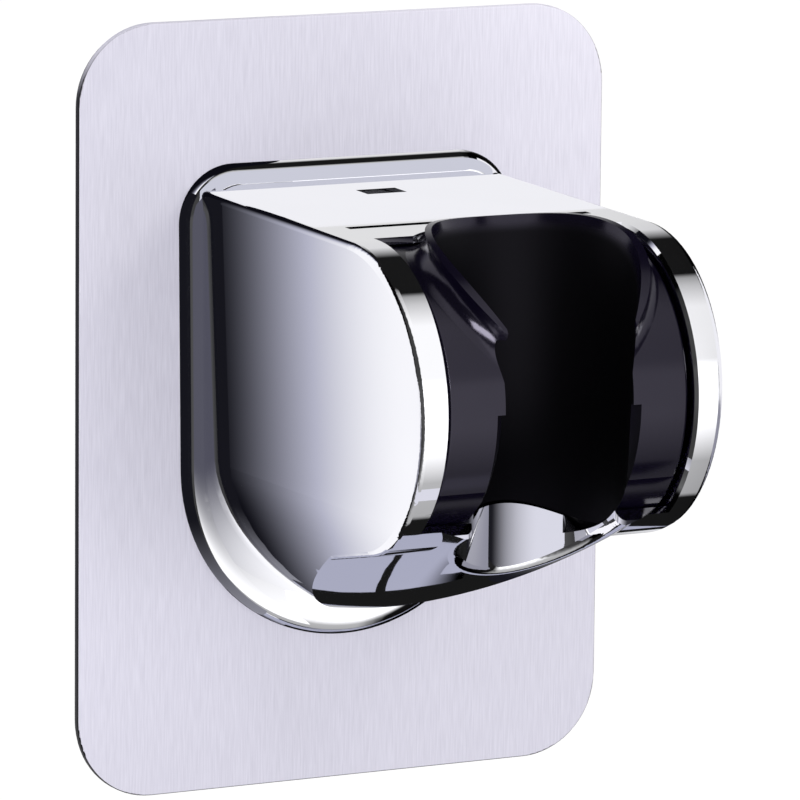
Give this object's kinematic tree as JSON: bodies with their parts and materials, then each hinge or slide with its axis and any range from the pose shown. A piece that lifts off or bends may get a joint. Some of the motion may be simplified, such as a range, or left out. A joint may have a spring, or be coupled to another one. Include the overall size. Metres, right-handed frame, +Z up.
{
  "type": "hand shower holder",
  "caption": "Wall holder for a hand shower: a brushed adhesive plate, a chrome bracket housing and a tilting black cradle with a tapered, slotted socket.",
  "frame": {"origin": "centre of the adhesive pad's back face, where it meets the wall", "axes": "+Y into the wall, -Y out to the front, +X to the viewer's right, +Z up"},
  "size_m": [0.0754, 0.0636, 0.1],
  "materials": {
    "brushed_plate": "vertical brushed grain",
    "chrome_shell": "mirror plating on moulded plastic",
    "cradle_plastic": "satin gloss black",
    "base_plastic": "matte black",
    "adhesive_foam": "dark foam adhesive",
    "fastener_steel": "plain stainless",
    "washer_rubber": "moulded rubber"
  },
  "bodies": {
    "bracket": {"adhesive_pad": "adhesive_foam", "wall_plate": "brushed_plate", "plate_studs": "fastener_steel", "mounting_base": "base_plastic", "stud_washers": "fastener_steel", "stud_nuts": "fastener_steel", "bracket_housing": "chrome_shell"},
    "cradle": {"cradle": "cradle_plastic", "friction_washer_left": "washer_rubber", "friction_washer_right": "washer_rubber"}
  },
  "joints": [
    {"name": "cradle_tilt", "type": "hinge", "parent": "bracket", "child": "cradle", "pos_m": [0, -0.044, 0.0079], "axis": [1, 0, 0], "range_deg": [0, 30]}
  ]
}
